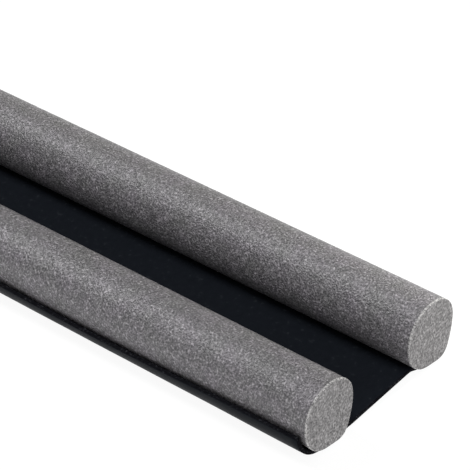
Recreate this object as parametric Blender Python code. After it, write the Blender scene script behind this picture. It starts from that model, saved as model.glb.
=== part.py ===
"""Draught excluder, double sided: two foam rolls on one black sheet.

The rolls lie along X with an open slot between them, and +Z is up. The origin is
the bottom centre: the sheet rests on the floor at Z = 0 under each roll.
"""
import math

import bmesh
import bpy

# Driving dimensions, in metres
SLOT_WIDTH = 0.042
ROLL_LENGTH = 0.899
ROLL_STAGGER = 0.001
ROLL_WIDTH = 0.036
ROLL_HEIGHT = 0.0374
ROLL_SQUASH = 0.0003
ROLL_RIM = 0.0005
SHEET_THICKNESS = 0.0022
SHEET_SETBACK = 0.0031
SEAT_GAP = 0.0004
LIP_GAP = 0.0012
BRIDGE_RISE = 0.0024

# The foam stays pressed flat a little past the sheet's end, and comes free within a fade
PRESS_MARGIN = 0.0003
PRESS_FADE = 0.0012

# The rolls' uneven section makes the rear lip stand closer in, so all moves along Y
CENTRING = 0.0005

# The roll's section is a rounded square: 2 would be a true ellipse. Both rolls were
# extruded alike and a little uneven, fuller at the low corner on the +Y side and drawn
# in above it. Each change is its angle, its share of the roll's size and its spread.
ROLL_SQUARENESS = 2.15
FULL_CORNER = (math.radians(-61), 0.125, math.radians(19))
DRAWN_IN_SIDE = (math.radians(-16), -0.059, math.radians(31))

# How far the sheet's lips stop below the rolls' middle, and how that wanders
LIP_DROP = math.radians(11.2)
LIP_WAVE = math.radians(3.4)
LIP_WAVE_LENGTH = 0.235
LIP_WAVE_PEAK = 0.016
LIP_DRIFT = math.radians(0.9)
LIP_DRIFT_LENGTH = 0.61

# Places along Y on the bridge, measured from the front roll's axis
FOOT_END = 0.020
CREST = 0.065
DIP_END = 0.074

# Steps of the meshes
ROLL_SIDES = 48
RIM_STEPS = 2
LIP_STEPS = 11
RISE_STEPS = 3
DIP_STEPS = 6
SHEET_STATIONS = 24

# Sizes that follow from the ones above
ROLL_PITCH = SLOT_WIDTH + ROLL_WIDTH
FRONT_AXIS = CENTRING - ROLL_PITCH / 2
REAR_AXIS = CENTRING + ROLL_PITCH / 2
ROLL_DROP = ROLL_HEIGHT / 2 - ROLL_SQUASH
ROLL_CENTRE = SHEET_THICKNESS + SEAT_GAP + ROLL_DROP
SHEET_END = ROLL_LENGTH / 2 - ROLL_STAGGER / 2 - SHEET_SETBACK
PRESSED_END = SHEET_END + ROLL_STAGGER / 2 + PRESS_MARGIN
FREE_START = PRESSED_END + PRESS_FADE

FOAM_GREY = (0.175, 0.172, 0.180, 1.0)
SHEET_BLACK = (0.010, 0.011, 0.014, 1.0)


def clear_scene():
    """Start from an empty scene."""
    for item in list(bpy.data.objects):
        bpy.data.objects.remove(item, do_unlink=True)


def make_material(name, colour, roughness):
    """A plain non-metal surface."""
    material = bpy.data.materials.new(name)
    material.use_nodes = True
    shader = material.node_tree.nodes["Principled BSDF"]
    shader.inputs["Base Color"].default_value = colour
    shader.inputs["Roughness"].default_value = roughness
    shader.inputs["Metallic"].default_value = 0.0
    return material


def roll_outline(angle, outset=0.0):
    """Y and Z of the roll's skin about its axis; angle 0 points to +Y."""
    across = math.cos(angle)
    upward = math.sin(angle)
    total = abs(across) ** ROLL_SQUARENESS + abs(upward) ** ROLL_SQUARENESS
    reach = total ** (-1 / ROLL_SQUARENESS)
    for middle, change, spread in (FULL_CORNER, DRAWN_IN_SIDE):
        apart = math.remainder(angle - middle, 2 * math.pi)
        reach *= 1 + change * math.exp(-(apart / spread) ** 2)
    return (ROLL_WIDTH / 2 + outset) * reach * across, (ROLL_HEIGHT / 2 + outset) * reach * upward


def finish_object(name, mesh_data, material, location=(0.0, 0.0, 0.0)):
    """Turn edited mesh data into a named object in the scene."""
    bmesh.ops.recalc_face_normals(mesh_data, faces=mesh_data.faces[:])
    mesh = bpy.data.meshes.new(name)
    mesh_data.to_mesh(mesh)
    mesh_data.free()
    mesh.shade_smooth()
    mesh.set_sharp_from_angle(angle=math.radians(40))
    item = bpy.data.objects.new(name, mesh)
    item.location = location
    item.data.materials.append(material)
    bpy.context.scene.collection.objects.link(item)
    return item


def make_roll(name, axis_y, shift, material):
    """One foam roll, cut square at both ends.

    It is pressed flat where it rests on the sheet. Past the sheet's ends it hangs free.
    """
    mesh_data = bmesh.new()
    rings = []
    for x in (-ROLL_LENGTH / 2, -FREE_START, -PRESSED_END, PRESSED_END, FREE_START, ROLL_LENGTH / 2):
        lowest = -ROLL_DROP if abs(x) < FREE_START else -ROLL_HEIGHT
        ring = []
        for step in range(ROLL_SIDES):
            y, z = roll_outline(2 * math.pi * step / ROLL_SIDES)
            ring.append(mesh_data.verts.new((x, y, max(z, lowest))))
        rings.append(ring)
    for here, beyond in zip(rings, rings[1:]):
        for side in range(ROLL_SIDES):
            after = (side + 1) % ROLL_SIDES
            mesh_data.faces.new((here[side], here[after], beyond[after], beyond[side]))
    rims = []
    for ring in (rings[0], rings[-1]):
        rims.extend(mesh_data.faces.new(ring).edges)
    bmesh.ops.bevel(mesh_data, geom=rims, offset=ROLL_RIM, segments=RIM_STEPS, profile=0.5, affect="EDGES")
    return finish_object(name, mesh_data, material, (shift, axis_y, ROLL_CENTRE))


def lip_angle(x, phase):
    """How far below the roll's middle the sheet's lip stops, at x along the roll."""
    from_end = SHEET_END - x
    wave = LIP_WAVE * math.cos(2 * math.pi * (from_end - LIP_WAVE_PEAK) / LIP_WAVE_LENGTH + phase)
    drift = LIP_DRIFT * math.sin(2 * math.pi * from_end / LIP_DRIFT_LENGTH + phase)
    return LIP_DROP - wave + drift


def trough_side(lip, side):
    """The sheet from its lip down to the bottom of a roll, as lower and upper points.

    The roll is at Y = 0 and the lip on its -Y or +Y side, by the sign of side. The
    sheet stands a little off the foam at the lip and closes in towards the bottom.
    """
    points = []
    for step in range(LIP_STEPS):
        share = step / LIP_STEPS
        below_middle = lip + (math.pi / 2 - lip) * share
        gap = SEAT_GAP + (LIP_GAP - SEAT_GAP) * math.cos(share * math.pi / 2)
        angle = math.pi + below_middle
        if side > 0:
            angle = -below_middle
        low_y, low_z = roll_outline(angle, gap + SHEET_THICKNESS)
        high_y, high_z = roll_outline(angle, gap)
        low = (low_y, max(low_z + ROLL_CENTRE, 0.0))
        high = (high_y, max(high_z + ROLL_CENTRE, SHEET_THICKNESS))
        points.append((low, high))
    return points


def bridge_height(across):
    """Height of the sheet's underside on its way between the rolls."""
    if across < CREST:
        return BRIDGE_RISE * (across - FOOT_END) / (CREST - FOOT_END)
    share = (across - CREST) / (DIP_END - CREST)
    return BRIDGE_RISE * (0.5 + 0.5 * math.cos(math.pi * share))


def bridge():
    """The sheet from the front roll's bottom to the rear roll's, across the slot."""
    places = [0.0]
    for step in range(RISE_STEPS):
        places.append(FOOT_END + (CREST - FOOT_END) * step / RISE_STEPS)
    for step in range(DIP_STEPS + 1):
        places.append(CREST + (DIP_END - CREST) * step / DIP_STEPS)
    places.append(ROLL_PITCH)
    points = []
    for place in places:
        height = 0.0
        if FOOT_END < place < DIP_END:
            height = bridge_height(place)
        y = FRONT_AXIS + place
        points.append(((y, height), (y, height + SHEET_THICKNESS)))
    return points


def sheet_section(x):
    """The whole width of the sheet at x, front lip to rear lip."""
    points = []
    for low, high in trough_side(lip_angle(x, 0.0), -1):
        points.append(((FRONT_AXIS + low[0], low[1]), (FRONT_AXIS + high[0], high[1])))
    points.extend(bridge())
    for low, high in reversed(trough_side(lip_angle(x, 2.1), 1)):
        points.append(((REAR_AXIS + low[0], low[1]), (REAR_AXIS + high[0], high[1])))
    return points


def make_sheet(name, material):
    """The black sheet: one length, turned up round the outer side of both rolls."""
    mesh_data = bmesh.new()
    stations = []
    for step in range(SHEET_STATIONS + 1):
        x = -SHEET_END + 2 * SHEET_END * step / SHEET_STATIONS
        section = sheet_section(x)
        lower = [mesh_data.verts.new((x, low[0], low[1])) for low, high in section]
        upper = [mesh_data.verts.new((x, high[0], high[1])) for low, high in section]
        stations.append((lower, upper))
    strips = len(stations[0][0]) - 1
    for here, beyond in zip(stations, stations[1:]):
        for side in range(2):
            for strip in range(strips):
                mesh_data.faces.new((here[side][strip], here[side][strip + 1],
                                     beyond[side][strip + 1], beyond[side][strip]))
        for lip in (0, strips):
            mesh_data.faces.new((here[0][lip], here[1][lip], beyond[1][lip], beyond[0][lip]))
    for lower, upper in (stations[0], stations[-1]):
        for strip in range(strips):
            mesh_data.faces.new((lower[strip], lower[strip + 1], upper[strip + 1], upper[strip]))
    return finish_object(name, mesh_data, material)


clear_scene()
foam = make_material("foam", FOAM_GREY, 0.9)
make_roll("front_roll", FRONT_AXIS, -ROLL_STAGGER / 2, foam)
make_roll("rear_roll", REAR_AXIS, ROLL_STAGGER / 2, foam)
make_sheet("base_sheet", make_material("coated_sheet", SHEET_BLACK, 0.42))
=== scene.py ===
import math

import bmesh
import bpy
from mathutils import Matrix, Vector, noise


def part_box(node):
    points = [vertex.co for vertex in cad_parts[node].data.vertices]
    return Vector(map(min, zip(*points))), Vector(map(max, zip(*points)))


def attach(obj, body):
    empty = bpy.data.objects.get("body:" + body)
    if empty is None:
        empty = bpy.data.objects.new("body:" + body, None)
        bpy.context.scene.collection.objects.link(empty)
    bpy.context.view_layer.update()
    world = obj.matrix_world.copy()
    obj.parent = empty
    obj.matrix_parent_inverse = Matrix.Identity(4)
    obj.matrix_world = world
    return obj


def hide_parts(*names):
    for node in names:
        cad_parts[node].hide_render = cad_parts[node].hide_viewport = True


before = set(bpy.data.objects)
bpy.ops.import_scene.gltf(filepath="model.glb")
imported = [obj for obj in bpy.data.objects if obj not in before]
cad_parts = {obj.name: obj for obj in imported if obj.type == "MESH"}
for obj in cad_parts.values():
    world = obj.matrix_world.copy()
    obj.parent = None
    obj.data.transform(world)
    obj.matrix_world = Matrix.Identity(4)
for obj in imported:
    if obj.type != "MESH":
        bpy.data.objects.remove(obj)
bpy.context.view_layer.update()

# Foam rolls: two lengths of grey closed-cell foam, extruded nearly round with a skin of
# fine cells and cut square across. Each is one piece, pressed flat where it lies on the
# sheet and hanging free past the sheet's ends, with a narrow rim band round its cut faces
# painted pale as a painted highlight.
foam_half_width = 0.018
foam_half_height = 0.0187
foam_squareness = 2.15
full_corner = (math.radians(-61), 0.125, math.radians(19))
drawn_in_side = (math.radians(-16), -0.059, math.radians(31))
pressed_depth = 0.0184
free_hang = 0.00187
pressed_end = 0.4467
free_start = 0.4479
foam_rim = 0.0003
rim_band_width = 0.0008
foam_rim_steps = 3
foam_sides = 96
foam_step = 0.00125
face_ring_step = 0.0014
lump_depth = 0.00007
lump_size = 0.0042
pit_depth = 0.00004
pit_size = 0.0021
face_relief = 0.00006
face_streak_size = (0.0016, 0.0042)
skin_number = 0
cut_number = 1
highlight_rim_number = 2


def foam_outline(angle, outset):
    """Y and Z of the foam's skin about the roll's axis, moved out by outset.

    The section is a rounded square, fuller at its low corner on the +Y side and drawn
    in a little above that.
    """
    across = math.cos(angle)
    upward = math.sin(angle)
    total = abs(across) ** foam_squareness + abs(upward) ** foam_squareness
    reach = total ** (-1 / foam_squareness)
    for middle, change, spread in (full_corner, drawn_in_side):
        apart = math.remainder(angle - middle, 2 * math.pi)
        reach *= 1 + change * math.exp(-(apart / spread) ** 2)
    y = (foam_half_width + outset) * reach * across
    z = (foam_half_height + outset) * reach * upward
    return y, z


def foam_lowest(from_middle):
    """How low the foam may hang: pressed flat on the sheet, free past the sheet's end."""
    share = (abs(from_middle) - pressed_end) / (free_start - pressed_end)
    share = min(max(share, 0.0), 1.0)
    return -pressed_depth - free_hang * share * share * (3 - 2 * share)


def foam_bump(x, y, z, seed):
    """How far the skin stands proud at a place: soft lumps, and fine cells on them."""
    lump = noise.noise(Vector((x, y, z)) / lump_size + Vector((seed, 0, 0)))
    pit = noise.noise(Vector((x, y, z)) / pit_size + Vector((0, seed, 0)))
    return lump_depth * lump + pit_depth * pit


def face_bump(y, z, seed):
    """The blade's streaks on a cut face: longer up and down than across."""
    across, upward = face_streak_size
    return face_relief * noise.noise(Vector((y / across, z / upward, seed)))


def ring_of_foam(mesh_data, x, inset, share, centre, seed, end_side):
    """One ring of points round the roll, or on its cut face where end_side isn't 0."""
    ring = []
    for side in range(foam_sides):
        angle = 2 * math.pi * side / foam_sides
        y, z = foam_outline(angle, -inset)
        z = max(z, foam_lowest(x) + inset)
        y, z = y * share, z * share
        away = Vector((y, z)).normalized()
        if end_side == 0:
            proud = foam_bump(x, y, z, seed)
            point = (x, y + away.x * proud, z + away.y * proud)
        else:
            point = (x + end_side * face_bump(y, z, seed), y, z)
        ring.append(mesh_data.verts.new(Vector(point) + centre))
    return ring


def foam_stations(low_x, high_x):
    """Place, inset, share of the outline and side for each ring, end to end."""
    face_rings = round(foam_half_width / face_ring_step)
    left_face = []
    right_face = []
    for ring in range(1, face_rings):
        share = ring / face_rings
        left_face.append((low_x, foam_rim, share, -1))
        right_face.append((high_x, foam_rim, share, 1))
    left_rim = []
    right_rim = []
    for step in range(foam_rim_steps + 1):
        turn = math.pi / 2 * step / foam_rim_steps
        inset = foam_rim * (1 - math.sin(turn))
        set_in = foam_rim * (1 - math.cos(turn))
        left_rim.append((low_x + set_in, inset, 1.0, 0))
        right_rim.append((high_x - set_in, inset, 1.0, 0))
    body_start = low_x + foam_rim + rim_band_width
    body_length = high_x - low_x - 2 * (foam_rim + rim_band_width)
    body_steps = round(body_length / foam_step)
    body = []
    for step in range(body_steps + 1):
        body.append((body_start + body_length * step / body_steps, 0.0, 1.0, 0))
    return left_face + left_rim + body + right_rim[::-1] + right_face[::-1]


def foam_roll(name, node, seed):
    """A foam roll in the place of its solid."""
    low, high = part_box(node)
    half_length = (high[0] - low[0]) / 2
    axis_y = low[1] + foam_half_width
    axis_z = high[2] - foam_half_height
    centre = Vector(((low[0] + high[0]) / 2, axis_y, axis_z))
    mesh_data = bmesh.new()
    rings = []
    kinds = []
    for x, inset, share, end_side in foam_stations(-half_length, half_length):
        rings.append(ring_of_foam(mesh_data, x, inset, share, centre, seed, end_side))
        if end_side != 0:
            kinds.append(cut_number)
        # Rings within half the band of each rim get the painted rim highlight.
        elif half_length - abs(x) < foam_rim + rim_band_width / 2:
            kinds.append(highlight_rim_number)
        else:
            kinds.append(skin_number)
    for here, beyond, kind_here, kind_beyond in zip(rings, rings[1:], kinds, kinds[1:]):
        if cut_number in (kind_here, kind_beyond):
            material_number = cut_number
        elif highlight_rim_number in (kind_here, kind_beyond):
            material_number = highlight_rim_number
        else:
            material_number = skin_number
        for side in range(foam_sides):
            after = (side + 1) % foam_sides
            face = mesh_data.faces.new((here[side], here[after], beyond[after], beyond[side]))
            face.material_index = material_number
    for ring, end_x in ((rings[0], -half_length), (rings[-1], half_length)):
        middle = mesh_data.verts.new(centre + Vector((end_x, 0, 0)))
        for side in range(foam_sides):
            face = mesh_data.faces.new((ring[side], ring[(side + 1) % foam_sides], middle))
            face.material_index = cut_number
    bmesh.ops.recalc_face_normals(mesh_data, faces=mesh_data.faces[:])
    mesh = bpy.data.meshes.new(name)
    mesh_data.to_mesh(mesh)
    mesh_data.free()
    mesh.shade_smooth()
    piece = bpy.data.objects.new(name, mesh)
    bpy.context.scene.collection.objects.link(piece)
    return piece


def node_in(material, kind, **values):
    """A shader node with its plain properties and its named sockets set."""
    node = material.node_tree.nodes.new(kind)
    for name, value in values.items():
        if hasattr(node, name):
            setattr(node, name, value)
        else:
            node.inputs[name.replace("_", " ")].default_value = value
    return node


def join(material, source, output, target, socket):
    """A link from one node's output to another's socket."""
    material.node_tree.links.new(source.outputs[output], target.inputs[socket])


def shades(material, source, output, stops):
    """A colour ramp fed by a node: stops are pairs of place and colour."""
    ramp = node_in(material, "ShaderNodeValToRGB")
    while len(ramp.color_ramp.elements) < len(stops):
        ramp.color_ramp.elements.new(0.5)
    for element, (place, colour) in zip(ramp.color_ramp.elements, stops):
        element.position = place
        element.color = (*colour, 1.0)
    join(material, source, output, ramp, "Fac")
    return ramp


def new_material(name, roughness, specular):
    """A material, its Principled shader and its object coordinates, in metres."""
    material = bpy.data.materials.new(name)
    material.use_nodes = True
    shader = material.node_tree.nodes["Principled BSDF"]
    shader.inputs["Roughness"].default_value = roughness
    shader.inputs["Specular IOR Level"].default_value = specular
    place = node_in(material, "ShaderNodeTexCoord")
    return material, shader, place


def foam_skin():
    """Grey skin of fine closed cells: pale cell walls, darker dimples, soft mottling."""
    cell_size = 0.0010
    grain_size = 0.0011
    glint_size = 0.0006
    mottle_size = 0.0026
    blotch_size = 0.011
    material, shader, place = new_material("foam_skin", roughness=0.38, specular=0.50)
    cells = node_in(material, "ShaderNodeTexVoronoi", feature="SMOOTH_F1", Scale=1 / cell_size,
                    Smoothness=0.2)
    grain = node_in(material, "ShaderNodeTexNoise", Scale=1 / grain_size, Detail=3.0)
    mottle = node_in(material, "ShaderNodeTexNoise", Scale=1 / mottle_size, Detail=2.0)
    blotch = node_in(material, "ShaderNodeTexNoise", Scale=1 / blotch_size, Detail=3.0)
    glint = node_in(material, "ShaderNodeTexNoise", Scale=1 / glint_size, Detail=2.0)
    for pattern in (cells, grain, mottle, blotch, glint):
        join(material, place, "Object", pattern, "Vector")
    cell_tone = shades(material, cells, "Distance",
                       [(0.0, (0.069, 0.067, 0.071)), (0.45, (0.127, 0.123, 0.128)),
                        (0.85, (0.226, 0.219, 0.227))])
    tones = [(grain, [(0.3, (0.46, 0.46, 0.47)), (0.55, (1.02, 1.01, 1.02)),
                      (0.7, (1.95, 1.92, 1.94))]),
             (mottle, [(0.3, (0.80, 0.80, 0.80)), (0.7, (1.20, 1.20, 1.20))]),
             (blotch, [(0.3, (0.93, 0.95, 0.925)), (0.7, (1.065, 1.035, 1.08))])]
    links = material.node_tree.links
    tint = cell_tone.outputs["Color"]
    for pattern, stops in tones:
        tone = shades(material, pattern, "Fac", stops)
        mixed = node_in(material, "ShaderNodeMix", data_type="RGBA", blend_type="MULTIPLY")
        mixed.inputs["Factor"].default_value = 1.0
        links.new(tint, mixed.inputs["A"])
        links.new(tone.outputs["Color"], mixed.inputs["B"])
        tint = mixed.outputs["Result"]
    links.new(tint, shader.inputs["Base Color"])
    relief = node_in(material, "ShaderNodeBump", Strength=0.6, Distance=0.0004)
    join(material, cells, "Distance", relief, "Height")
    fine = node_in(material, "ShaderNodeBump", Strength=0.7, Distance=0.0004)
    join(material, glint, "Fac", fine, "Height")
    join(material, relief, "Normal", fine, "Normal")
    join(material, fine, "Normal", shader, "Normal")
    return material


def foam_cut():
    """The cut face: cells sliced open, smeared a little up and down by the blade."""
    cell_size = 0.0012
    streak_size = 0.0009
    mottle_size = 0.0030
    material, shader, place = new_material("foam_cut", roughness=0.8, specular=0.25)
    smear = node_in(material, "ShaderNodeMapping")
    smear.inputs["Scale"].default_value = (1.0, 1.0, 0.75)
    join(material, place, "Object", smear, "Vector")
    cells = node_in(material, "ShaderNodeTexVoronoi", feature="SMOOTH_F1", Scale=1 / cell_size,
                    Smoothness=0.4)
    streaks = node_in(material, "ShaderNodeTexNoise", Scale=1 / streak_size, Detail=3.0)
    mottle = node_in(material, "ShaderNodeTexNoise", Scale=1 / mottle_size, Detail=2.0)
    for pattern in (cells, streaks, mottle):
        join(material, smear, "Vector", pattern, "Vector")
    cell_tone = shades(material, cells, "Distance",
                       [(0.0, (0.112, 0.110, 0.111)), (0.8, (0.268, 0.262, 0.264))])
    tones = [(streaks, (0.3, (0.44, 0.44, 0.44)), (0.7, (1.56, 1.55, 1.55))),
             (mottle, (0.3, (0.78, 0.78, 0.78)), (0.7, (1.22, 1.22, 1.22)))]
    links = material.node_tree.links
    tint = cell_tone.outputs["Color"]
    for pattern, dark, pale in tones:
        tone = shades(material, pattern, "Fac", [dark, pale])
        mixed = node_in(material, "ShaderNodeMix", data_type="RGBA", blend_type="MULTIPLY")
        mixed.inputs["Factor"].default_value = 1.0
        links.new(tint, mixed.inputs["A"])
        links.new(tone.outputs["Color"], mixed.inputs["B"])
        tint = mixed.outputs["Result"]
    links.new(tint, shader.inputs["Base Color"])
    relief = node_in(material, "ShaderNodeBump", Strength=0.6, Distance=0.0003)
    join(material, streaks, "Fac", relief, "Height")
    join(material, relief, "Normal", shader, "Normal")
    return material


def foam_rim_highlight():
    """Painted highlight: the rim band between skin and cut face, coloured pale and flecked by
    noise.
    """
    rim_speck_size = 0.0009
    material, shader, place = new_material("foam_rim_highlight", roughness=0.8, specular=0.2)
    rim_specks = node_in(material, "ShaderNodeTexNoise", Scale=1 / rim_speck_size, Detail=3.0)
    join(material, place, "Object", rim_specks, "Vector")
    # Painted highlight: a pale flecked tone standing in for light caught on the rounded rim.
    tone = shades(material, rim_specks, "Fac",
                  [(0.34, (0.11, 0.108, 0.11)), (0.66, (0.58, 0.57, 0.565))])
    join(material, tone, "Color", shader, "Base Color")
    relief = node_in(material, "ShaderNodeBump", Strength=0.5, Distance=0.0003)
    join(material, rim_specks, "Fac", relief, "Height")
    join(material, relief, "Normal", shader, "Normal")
    return material


skin = foam_skin()
cut_face = foam_cut()
painted_rim_highlight = foam_rim_highlight()
front_seed = 3.1
rear_seed = 17.6
for roll_name, roll_node, roll_seed in (("front_foam", "front_roll", front_seed),
                                        ("rear_foam", "rear_roll", rear_seed)):
    roll = foam_roll(roll_name, roll_node, roll_seed)
    roll.data.materials.append(skin)
    roll.data.materials.append(cut_face)
    roll.data.materials.append(painted_rim_highlight)
    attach(roll, "root")
    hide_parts(roll_node)


# Base sheet: one length of black coated cloth about 2 mm thick. It lies flat under the
# front roll, rises a little across the slot, dips again under the rear roll, and turns
# up round the outer side of both, where its cut lips stand just off the foam.
sheet_thickness = 0.0022
seat_gap = 0.0004
lip_gap = 0.0012
lip_drop = math.radians(11.2)
lip_wave = math.radians(3.4)
lip_wave_length = 0.235
lip_wave_peak = 0.016
lip_drift = math.radians(0.9)
lip_drift_length = 0.61
lip_ripple = 0.00022
lip_ripple_length = 0.037
front_lip_phase = 0.0
rear_lip_phase = 2.1
bridge_rise = 0.0024
foot_end = 0.020
bridge_crest = 0.065
dip_end = 0.074
trough_steps = 26
foot_steps = 8
rise_steps = 18
dip_steps = 14
sheet_step = 0.0042
cut_round = 0.0003
crease_angle = math.radians(50)
width_places = 41
coating_number = 0
edge_number = 1

front_low, front_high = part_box("front_roll")
rear_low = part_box("rear_roll")[0]
sheet_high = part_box("base_sheet")[1]
front_axis = front_low[1] + foam_half_width
rear_axis = rear_low[1] + foam_half_width
roll_centre = front_high[2] - foam_half_height
sheet_end = sheet_high[0]


def lip_angle(x, phase):
    """How far below the roll's middle the lip stops, at x along the roll."""
    from_end = sheet_end - x
    from_peak = from_end - lip_wave_peak
    wave = lip_wave * math.cos(2 * math.pi * from_peak / lip_wave_length + phase)
    drift = lip_drift * math.sin(2 * math.pi * from_end / lip_drift_length + phase)
    return lip_drop - wave + drift


def lip_stand(x, phase):
    """How much further off the foam the lip stands, at x: the cloth is never quite even."""
    return lip_ripple * noise.noise(Vector((x / lip_ripple_length, phase, 0)))


def trough_side(x, phase, side):
    """Lower and upper points from the lip down to the roll's bottom, on one side of it."""
    lip = lip_angle(x, phase)
    points = []
    for step in range(trough_steps):
        share = step / trough_steps
        angle = math.pi + lip + (math.pi / 2 - lip) * share
        if side > 0:
            angle = math.pi - angle
        close = math.cos(share * math.pi / 2)
        gap = seat_gap + (lip_gap - seat_gap + lip_stand(x, phase)) * close
        pair = []
        for outset, floor in ((gap + sheet_thickness, 0.0), (gap, sheet_thickness)):
            y, z = foam_outline(angle, outset)
            pair.append((y, max(z + roll_centre, floor)))
        points.append(pair)
    return points


def bridge_points():
    """Lower and upper points from under the front roll to under the rear roll."""
    pitch = rear_axis - front_axis
    places = [(foot_end * step / foot_steps, 0.0) for step in range(foot_steps)]
    for step in range(rise_steps):
        share = step / rise_steps
        places.append((foot_end + (bridge_crest - foot_end) * share, bridge_rise * share))
    for step in range(dip_steps + 1):
        share = step / dip_steps
        height = bridge_rise * (0.5 + 0.5 * math.cos(math.pi * share))
        places.append((bridge_crest + (dip_end - bridge_crest) * share, height))
    places.append((pitch, 0.0))
    points = []
    for place, height in places:
        y = front_axis + place
        points.append(((y, height), (y, height + sheet_thickness)))
    return points


def sheet_section(x):
    """The sheet's whole width at x, as lower and upper points, front lip to rear lip."""
    points = []
    for low, high in trough_side(x, front_lip_phase, -1):
        points.append(((front_axis + low[0], low[1]), (front_axis + high[0], high[1])))
    points.extend(bridge_points())
    for low, high in reversed(trough_side(x, rear_lip_phase, 1)):
        points.append(((rear_axis + low[0], low[1]), (rear_axis + high[0], high[1])))
    return points


def rounded_lip(low, high, inward):
    """Two points that soften the sheet's cut lip, and the lip's own corners set back."""
    low, high, inward = Vector(low), Vector(high), Vector(inward)
    along = (high - low).normalized() * cut_round
    back = inward.normalized() * cut_round
    return [low + back, low + along, high - along, high + back]


def sheet_ring(mesh_data, x, shrink):
    """The sheet's closed section at x, drawn in by shrink at its cut ends."""
    section = sheet_section(x)
    lower = [Vector(low) for low, high in section]
    upper = [Vector(high) for low, high in section]
    for here, beyond in zip(lower, upper):
        inward = (beyond - here).normalized() * shrink
        here += inward
        beyond -= inward
    front = rounded_lip(lower[0], upper[0], (lower[1] - lower[0]))
    rear = rounded_lip(lower[-1], upper[-1], (lower[-2] - lower[-1]))
    loop = [front[1], front[0], *lower[1:-1], rear[0], rear[1], rear[2], rear[3]]
    loop.extend(upper[-2:0:-1])
    loop.extend([front[3], front[2]])
    return [mesh_data.verts.new((x, point.x, point.y)) for point in loop]


def base_sheet(name):
    """The whole sheet as one closed mesh with softened cut edges."""
    mesh_data = bmesh.new()
    steps = round(2 * (sheet_end - cut_round) / sheet_step)
    stations = [(-sheet_end, cut_round)]
    for step in range(steps + 1):
        x = (sheet_end - cut_round) * (2 * step / steps - 1)
        stations.append((x, 0.0))
    stations.append((sheet_end, cut_round))
    rings = [sheet_ring(mesh_data, x, shrink) for x, shrink in stations]
    count = len(rings[0])
    half = count // 2
    cut_strips = (0, half - 2, half - 1, half, count - 2, count - 1)
    for number, (here, beyond) in enumerate(zip(rings, rings[1:])):
        at_end = number in (0, len(rings) - 2)
        for side in range(count):
            after = (side + 1) % count
            face = mesh_data.faces.new((here[side], here[after], beyond[after], beyond[side]))
            face.material_index = edge_number if at_end or side in cut_strips else coating_number
    for ring in (rings[0], rings[-1]):
        for side in range(half - 1):
            face = mesh_data.faces.new((ring[side], ring[side + 1],
                                        ring[count - 2 - side], ring[count - 1 - side]))
            face.material_index = edge_number
    bmesh.ops.recalc_face_normals(mesh_data, faces=mesh_data.faces[:])
    mesh = bpy.data.meshes.new(name)
    mesh_data.to_mesh(mesh)
    mesh_data.free()
    mesh.shade_smooth()
    mesh.set_sharp_from_angle(angle=crease_angle)
    piece = bpy.data.objects.new(name, mesh)
    bpy.context.scene.collection.objects.link(piece)
    return piece


def coated_cloth():
    """Smooth black coating with a fine grain, a cool soft sheen and a little dust."""
    grain_size = 0.0007
    patch_size = 0.02
    dust_size = 0.0035
    material, shader, place = new_material("coated_cloth", roughness=0.42, specular=0.018)
    grain = node_in(material, "ShaderNodeTexVoronoi", feature="F1", Scale=1 / grain_size)
    patch = node_in(material, "ShaderNodeTexNoise", Scale=1 / patch_size, Detail=3.0)
    dust = node_in(material, "ShaderNodeTexNoise", Scale=1 / dust_size, Detail=4.0)
    for pattern in (grain, patch, dust):
        join(material, place, "Object", pattern, "Vector")
    tone = shades(material, dust, "Fac",
                  [(0.0, (0.0055, 0.0066, 0.0092)), (0.62, (0.0078, 0.0094, 0.0126)),
                   (0.78, (0.022, 0.025, 0.029))])
    join(material, tone, "Color", shader, "Base Color")
    gloss = shades(material, patch, "Fac",
                   [(0.3, (0.36, 0.36, 0.36)), (0.7, (0.48, 0.48, 0.48))])
    join(material, gloss, "Color", shader, "Roughness")
    relief = node_in(material, "ShaderNodeBump", Strength=0.25, Distance=0.00015)
    join(material, grain, "Distance", relief, "Height")
    join(material, relief, "Normal", shader, "Normal")
    return material


def cut_edge():
    """The sheet's raw cut edge: dull black backing with a fibre texture, and sparse pale specks
    that are painted glints.
    """
    fibre_and_glint_size = 0.0011
    material, shader, place = new_material("cut_edge", roughness=0.85, specular=0.03)
    fibres_and_glints = node_in(material, "ShaderNodeTexNoise", Scale=1 / fibre_and_glint_size, Detail=2.0)
    join(material, place, "Object", fibres_and_glints, "Vector")
    # The top stop paints glints: sparse pale specks on the dull black.
    tone = shades(material, fibres_and_glints, "Fac",
                  [(0.3, (0.002, 0.002, 0.003)), (0.6, (0.006, 0.006, 0.008)),
                   (0.76, (0.045, 0.046, 0.052))])
    join(material, tone, "Color", shader, "Base Color")
    relief = node_in(material, "ShaderNodeBump", Strength=0.4, Distance=0.0002)
    join(material, fibres_and_glints, "Fac", relief, "Height")
    join(material, relief, "Normal", shader, "Normal")
    return material


def cut_width(x):
    """The sheet's width at x before it was bent, along the middle of its thickness."""
    middle = [(Vector(low) + Vector(high)) / 2 for low, high in sheet_section(x)]
    return sum((beyond - here).length for here, beyond in zip(middle, middle[1:]))


cloth = base_sheet("black_sheet")
cloth.data.materials.append(coated_cloth())
cloth.data.materials.append(cut_edge())
for step in range(width_places):
    cut_width(sheet_end * (2 * step / (width_places - 1) - 1))
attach(cloth, "root")
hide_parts("base_sheet")


# Floor: a plain white light table that the excluder lies on, so wide that no view meets
# its edge. It glows a little from within, so that the shadows on it stay faint.
floor_half = 12.0
floor_drop = 0.0001
floor_glow = 0.92
floor_colour = (0.12, 0.12, 0.12, 1.0)
glow_colour = (1.0, 1.0, 1.0, 1.0)

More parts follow.
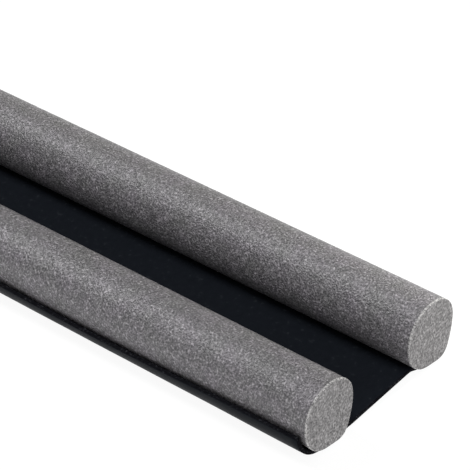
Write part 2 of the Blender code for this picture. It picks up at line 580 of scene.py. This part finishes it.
floor_data = bmesh.new()
bmesh.ops.create_grid(floor_data, x_segments=1, y_segments=1, size=floor_half,
                      matrix=Matrix.Translation((0, 0, -floor_drop)))
floor_mesh = bpy.data.meshes.new("floor")
floor_data.to_mesh(floor_mesh)
floor_data.free()
floor = bpy.data.objects.new("floor", floor_mesh)
bpy.context.scene.collection.objects.link(floor)
floor_material, floor_shader = new_material("white_floor", roughness=0.7, specular=0.2)[:2]
floor_shader.inputs["Base Color"].default_value = floor_colour
floor_shader.inputs["Emission Color"].default_value = glow_colour
floor_shader.inputs["Emission Strength"].default_value = floor_glow
floor_mesh.materials.append(floor_material)


# Light: a dim room all round, which the camera sees as pale as the floor. A high light
# brings out the rolls' tops, a broad one stands in front and one past the cut ends. Behind
# are a long low strip and a smaller light that brighten the rear roll and its cut end.
room_strength = 0.03
room_colour = (1.0, 1.0, 1.0, 1.0)
plain_white = (1.0, 1.0, 1.0)
warm_white = (1.0, 0.99, 0.90)
soft_white = (1.0, 0.99, 0.95)

world = bpy.data.worlds.new("white_room")
world.use_nodes = True
room = world.node_tree.nodes["Background"]
room_surface = world.node_tree.nodes["World Output"].inputs["Surface"]
room.inputs["Color"].default_value = room_colour
room.inputs["Strength"].default_value = room_strength
backdrop = world.node_tree.nodes.new("ShaderNodeBackground")
backdrop.inputs["Color"].default_value = room_colour
backdrop.inputs["Strength"].default_value = floor_glow
seen = world.node_tree.nodes.new("ShaderNodeLightPath")
chosen = world.node_tree.nodes.new("ShaderNodeMixShader")
world.node_tree.links.new(seen.outputs["Is Camera Ray"], chosen.inputs["Fac"])
world.node_tree.links.new(room.outputs["Background"], chosen.inputs[1])
world.node_tree.links.new(backdrop.outputs["Background"], chosen.inputs[2])
world.node_tree.links.new(chosen.outputs["Shader"], room_surface)
bpy.context.scene.world = world


def soft_light(name, place, aim, size, power, colour):
    """A soft rectangular light at place, turned to aim, that the camera doesn't see."""
    light = bpy.data.lights.new(name, "AREA")
    light.shape = "RECTANGLE"
    light.size, light.size_y = size
    light.energy = power
    light.color = colour
    lamp = bpy.data.objects.new(name, light)
    lamp.location = place
    lamp.rotation_euler = (Vector(aim) - Vector(place)).to_track_quat("-Z", "Y").to_euler()
    lamp.visible_camera = False
    bpy.context.scene.collection.objects.link(lamp)


cut_end = Vector((front_high[0], front_axis, roll_centre))
strip_aim = Vector((0.0, rear_axis, roll_centre + 0.01))
corner_aim = Vector((0.43, rear_axis, roll_centre + 0.012))
soft_light("high_light", place=(-1.0, -0.37, 2.08), aim=(0.3, 0.0, 0.0), size=(0.9, 0.6),
           power=51, colour=plain_white)
soft_light("front_light", place=(1.0, -2.1, 1.21), aim=(0.2, 0.0, 0.0), size=(1.8, 1.2),
           power=12, colour=plain_white)
soft_light("end_light", place=(2.0, -0.2, 0.85), aim=cut_end, size=(1.2, 1.0),
           power=15.5, colour=plain_white)
soft_light("rear_strip", place=(0.0, 0.14, 0.085), aim=strip_aim, size=(1.1, 0.05),
           power=0.24, colour=warm_white)
soft_light("corner_light", place=(0.47, 0.17, 0.13), aim=corner_aim, size=(0.24, 0.09),
           power=0.26, colour=soft_white)


# Camera: set to the photograph's view of the cut ends, with the front roll running out of
# the frame at the left. The front roll's end is held at its place in the frame.
view_around = math.radians(41.97)
view_down = math.radians(36.38)
view_tilt = math.radians(-2.47)
view_distance = 1.2109
frame_pixels = 470
focal_pixels = 2566.5
sensor_size = 36.0
nearest_shown = 0.01
end_at = Vector((330.46, 414.92))
frame_middle = Vector((frame_pixels / 2, frame_pixels / 2))

backward = Vector((math.sin(view_around) * math.cos(view_down),
                   -math.cos(view_around) * math.cos(view_down), math.sin(view_down)))
level = Vector((math.cos(view_around), math.sin(view_around), 0.0))
upright = backward.cross(level)
rightward = level * math.cos(view_tilt) + upright * math.sin(view_tilt)
upward = upright * math.cos(view_tilt) - level * math.sin(view_tilt)
offset = (end_at - frame_middle) * view_distance / focal_pixels

camera_data = bpy.data.cameras.new("camera")
camera_data.sensor_width = sensor_size
camera_data.lens = focal_pixels * sensor_size / frame_pixels
camera_data.clip_start = nearest_shown
camera = bpy.data.objects.new("camera", camera_data)
camera.location = cut_end - rightward * offset.x + upward * offset.y + backward * view_distance
camera.rotation_mode = "QUATERNION"
camera.rotation_quaternion = Matrix((rightward, upward, backward)).transposed().to_quaternion()
bpy.context.scene.collection.objects.link(camera)
bpy.context.scene.camera = camera
bpy.context.scene.view_settings.view_transform = "Standard"
